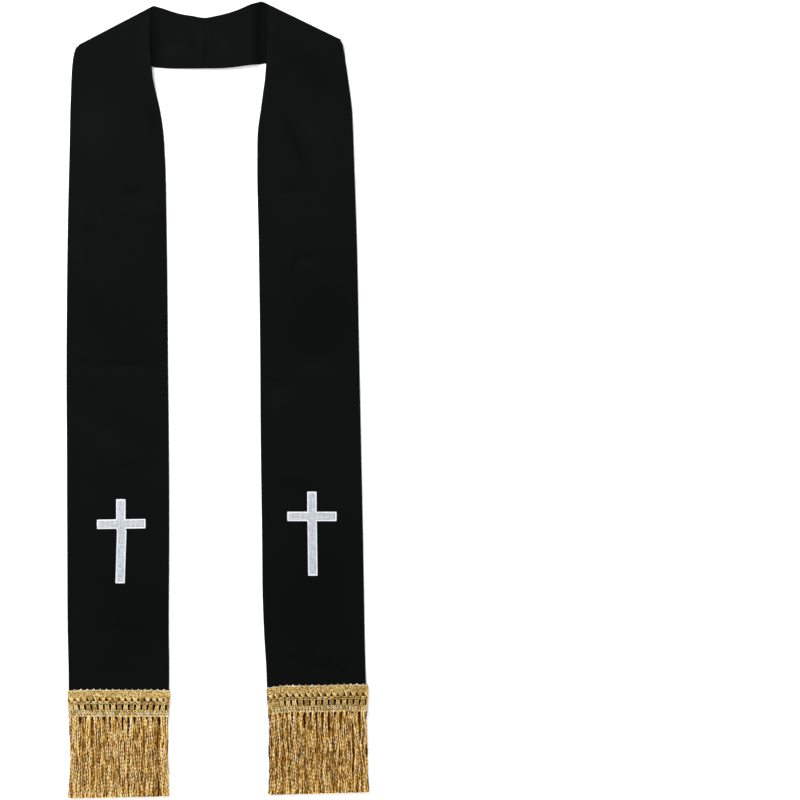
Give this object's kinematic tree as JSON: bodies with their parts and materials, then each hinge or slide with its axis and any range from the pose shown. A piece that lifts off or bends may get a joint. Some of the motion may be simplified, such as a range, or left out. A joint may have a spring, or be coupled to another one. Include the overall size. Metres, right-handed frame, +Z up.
{
  "type": "clerical stole",
  "caption": "Long narrow black cloth band folded at the shoulders, laid flat, with white crosses and gold fringe on its two ends.",
  "frame": {"origin": "on the surface the stole lies on, under the middle of its outline", "axes": "+Y runs up the panels to the neck, +X to the right of the laid-out front, +Z up from the surface"},
  "size_m": [0.4382, 1.1538, 0.0058],
  "materials": {
    "black_twill": "matt black twill",
    "white_satin_stitch": "white satin stitch embroidery",
    "gold_thread": "metallic gold thread"
  },
  "bodies": {
    "root": {"half_left": "black_twill", "half_right": "black_twill", "cross_left": "white_satin_stitch", "cross_right": "white_satin_stitch", "fringe_front_left": "gold_thread", "fringe_front_right": "gold_thread", "fringe_back_left": "gold_thread", "fringe_back_right": "gold_thread"}
  },
  "joints": []
}
